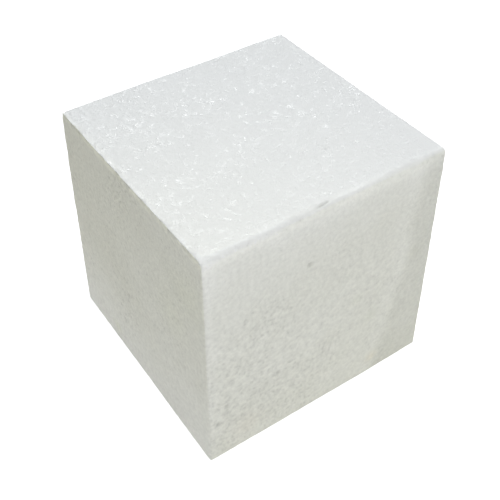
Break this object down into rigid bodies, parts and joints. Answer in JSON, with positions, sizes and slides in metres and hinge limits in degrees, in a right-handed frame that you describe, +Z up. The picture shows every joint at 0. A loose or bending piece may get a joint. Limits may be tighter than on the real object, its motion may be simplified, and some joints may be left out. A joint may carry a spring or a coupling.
{
  "type": "dry foam block",
  "caption": "Plain cube of dry white bead foam, cut square from a slab, with two rubbed front edges; a base that stems, picks and pins push into.",
  "frame": {"origin": "centre of the underside of the block, in the plane it stands on", "axes": "+Z up, out of the top face; -Y out of the front face, below the rubbed top edge; -X out of the left face, beside the rubbed upright edge"},
  "size_m": [0.1, 0.1, 0.1],
  "materials": {
    "foam": "matt white bead foam, faintly glossy on the hot-cut top"
  },
  "bodies": {
    "root": {"foam_block": "foam"}
  },
  "joints": []
}
